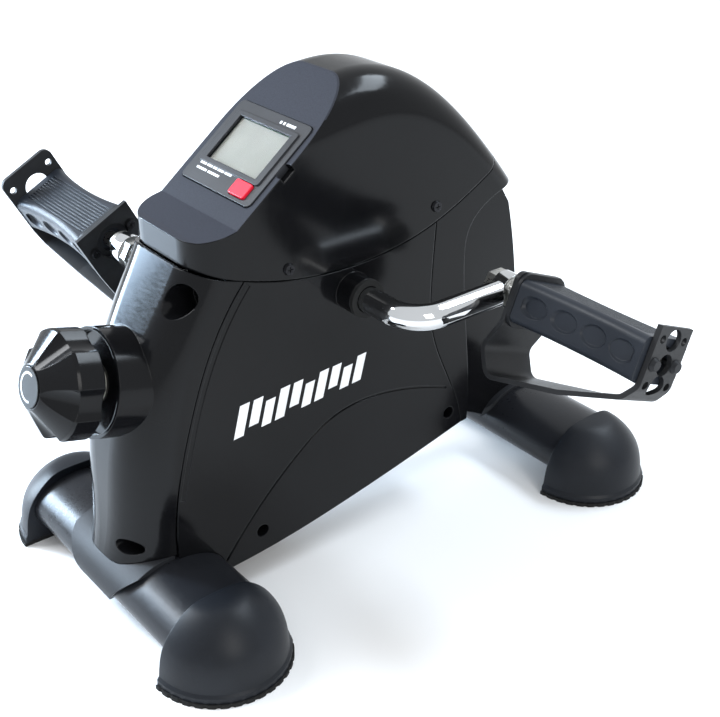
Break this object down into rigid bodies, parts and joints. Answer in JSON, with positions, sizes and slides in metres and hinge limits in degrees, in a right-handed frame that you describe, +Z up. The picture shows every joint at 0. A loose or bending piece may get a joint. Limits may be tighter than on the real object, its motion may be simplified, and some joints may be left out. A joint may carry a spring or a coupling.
{
  "type": "pedal exerciser",
  "caption": "Floor-standing pedal exerciser: two tube feet, moulded body, bent cranks with strapped foot pedals, tension knob and small sloping counter display.",
  "frame": {"origin": "on the floor, centred between the two stabiliser tubes and midway between the end caps", "axes": "+X to the machine's right, across it and along the crank axis; +Y from the tension knob towards the rear tube; +Z up"},
  "size_m": [0.4398, 0.4242, 0.3127],
  "materials": {
    "powder_black": "satin black powder coat",
    "zinc": "bright zinc plate",
    "black_oxide": "black oxide screws",
    "chrome": "polished chrome plate",
    "cast": "as cast, turned rim",
    "magnet": "nickel plate",
    "spring_steel": "oiled spring steel",
    "gloss_black": "high gloss black",
    "matte_black": "fine matte texture",
    "cap_rubber": "fine matte texture",
    "sole_rubber": "matte",
    "pedal_plastic": "satin dark blue-grey",
    "strap_rubber": "satin",
    "bearing_nylon": "natural nylon",
    "felt": "pressed felt",
    "lens": "clear acrylic",
    "lcd": "grey-green liquid crystal glass",
    "board": "solder mask",
    "button_red": "satin red",
    "cable": "soft vinyl",
    "console_black": "fine matte texture"
  },
  "bodies": {
    "base": {"band_anchor": "zinc", "bearing_cups": "zinc", "brake_band": "spring_steel", "brake_lining": "felt", "cap_front_left": "cap_rubber", "cap_front_right": "cap_rubber", "cap_rear_left": "cap_rubber", "cap_rear_right": "cap_rubber", "cap_screws": "zinc", "cap_soles": "sole_rubber", "case_screws": "black_oxide", "crank_bearings": "bearing_nylon", "dust_seals": "sole_rubber", "frame_bolts": "zinc", "frame_plate_left": "powder_black", "frame_plate_right": "powder_black", "frame_spacers": "zinc", "front_cover": "gloss_black", "front_saddle": "matte_black", "front_tube": "powder_black", "hood": "gloss_black", "knob_bushing": "bearing_nylon", "rear_cover": "gloss_black", "rear_saddle": "matte_black", "rear_strut": "powder_black", "rear_tube": "powder_black", "reed_sensor": "matte_black", "sensor_lead": "cable", "side_shell_left": "gloss_black", "side_shell_right": "gloss_black", "tension_spring": "spring_steel"},
    "crank": {"brake_drum": "cast", "hub_screws": "zinc", "drum_magnet": "magnet", "crank_right": "chrome", "crank_left": "chrome", "pedal_spindle_right": "zinc", "pedal_spindle_left": "zinc", "spindle_nuts": "zinc"},
    "right_pedal": {"pedal_body_right": "pedal_plastic", "pedal_end_cap_right": "matte_black", "pedal_screws_right": "black_oxide", "pedal_strap_right": "strap_rubber", "strap_studs_right": "matte_black"},
    "left_pedal": {"pedal_body_left": "pedal_plastic", "pedal_end_cap_left": "matte_black", "pedal_screws_left": "black_oxide", "pedal_strap_left": "strap_rubber", "strap_studs_left": "matte_black"},
    "knob": {"knob": "gloss_black", "knob_badge": "gloss_black", "tension_screw": "zinc"},
    "nut": {"tension_nut": "bearing_nylon"},
    "console": {"console_case": "console_black", "console_back": "console_black", "console_lens": "lens", "lcd_panel": "lcd", "console_board": "board", "button_cell": "magnet"},
    "button": {"reset_button": "button_red"}
  },
  "joints": [
    {"name": "crank_spin", "type": "hinge", "parent": "base", "child": "crank", "pos_m": [0, -0.024, 0.184], "axis": [1, 0, 0], "continuous": true},
    {"name": "right_pedal_spin", "type": "hinge", "parent": "crank", "child": "right_pedal", "pos_m": [0.168, 0.052, 0.184], "axis": [1, 0, 0], "continuous": true},
    {"name": "left_pedal_spin", "type": "hinge", "parent": "crank", "child": "left_pedal", "pos_m": [-0.168, -0.1, 0.184], "axis": [1, 0, 0], "continuous": true},
    {"name": "knob_turn", "type": "hinge", "parent": "base", "child": "knob", "pos_m": [0, -0.1836, 0.1574], "axis": [0, -0.9659, 0.2588], "range_deg": [0, 2160]},
    {"name": "nut_slide", "type": "slide", "parent": "base", "child": "nut", "axis": [0, -0.9659, 0.2588], "range_m": [0, 0.0076]},
    {"name": "console_pull", "type": "slide", "parent": "base", "child": "console", "axis": [0, -0.6247, 0.7809], "range_m": [0, 0.014]},
    {"name": "button_press", "type": "slide", "parent": "console", "child": "button", "axis": [0, 0.6247, -0.7809], "range_m": [0, 0.001], "stiffness_N_per_m": 600, "springref_m": -0.001}
  ],
  "couplings": [
    {"joint": "nut_slide", "follows": "knob_turn", "m_per_rad": 0.00019894}
  ]
}
